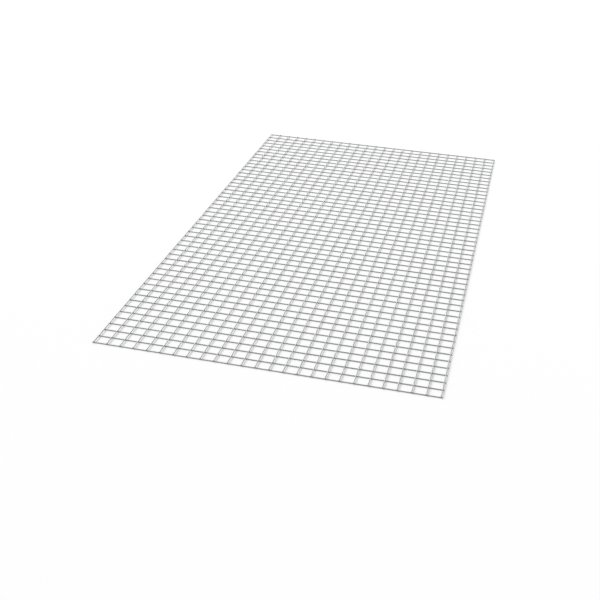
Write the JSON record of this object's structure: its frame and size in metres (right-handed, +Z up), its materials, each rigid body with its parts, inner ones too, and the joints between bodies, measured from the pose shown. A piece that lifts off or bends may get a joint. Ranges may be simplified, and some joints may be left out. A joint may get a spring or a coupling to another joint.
{
  "type": "welded wire mesh panel",
  "caption": "Flat rectangular grid of galvanised steel wires welded at every crossing, with square openings and short trimmed wire ends past the outer wires.",
  "frame": {"origin": "under the centre of the panel, on the level surface that it rests on", "axes": "+X across the panel along the cross wires, +Y along the panel with the line wires, +Z up, with the line wires on top"},
  "size_m": [1.262, 2.506, 0.0075],
  "materials": {
    "galvanised_wire": "zinc-coated wire, satin, bright on top and duller at the welds"
  },
  "bodies": {
    "root": {"mesh_bay_1": "galvanised_wire", "mesh_bay_2": "galvanised_wire", "mesh_bay_3": "galvanised_wire", "mesh_bay_4": "galvanised_wire"}
  },
  "joints": []
}
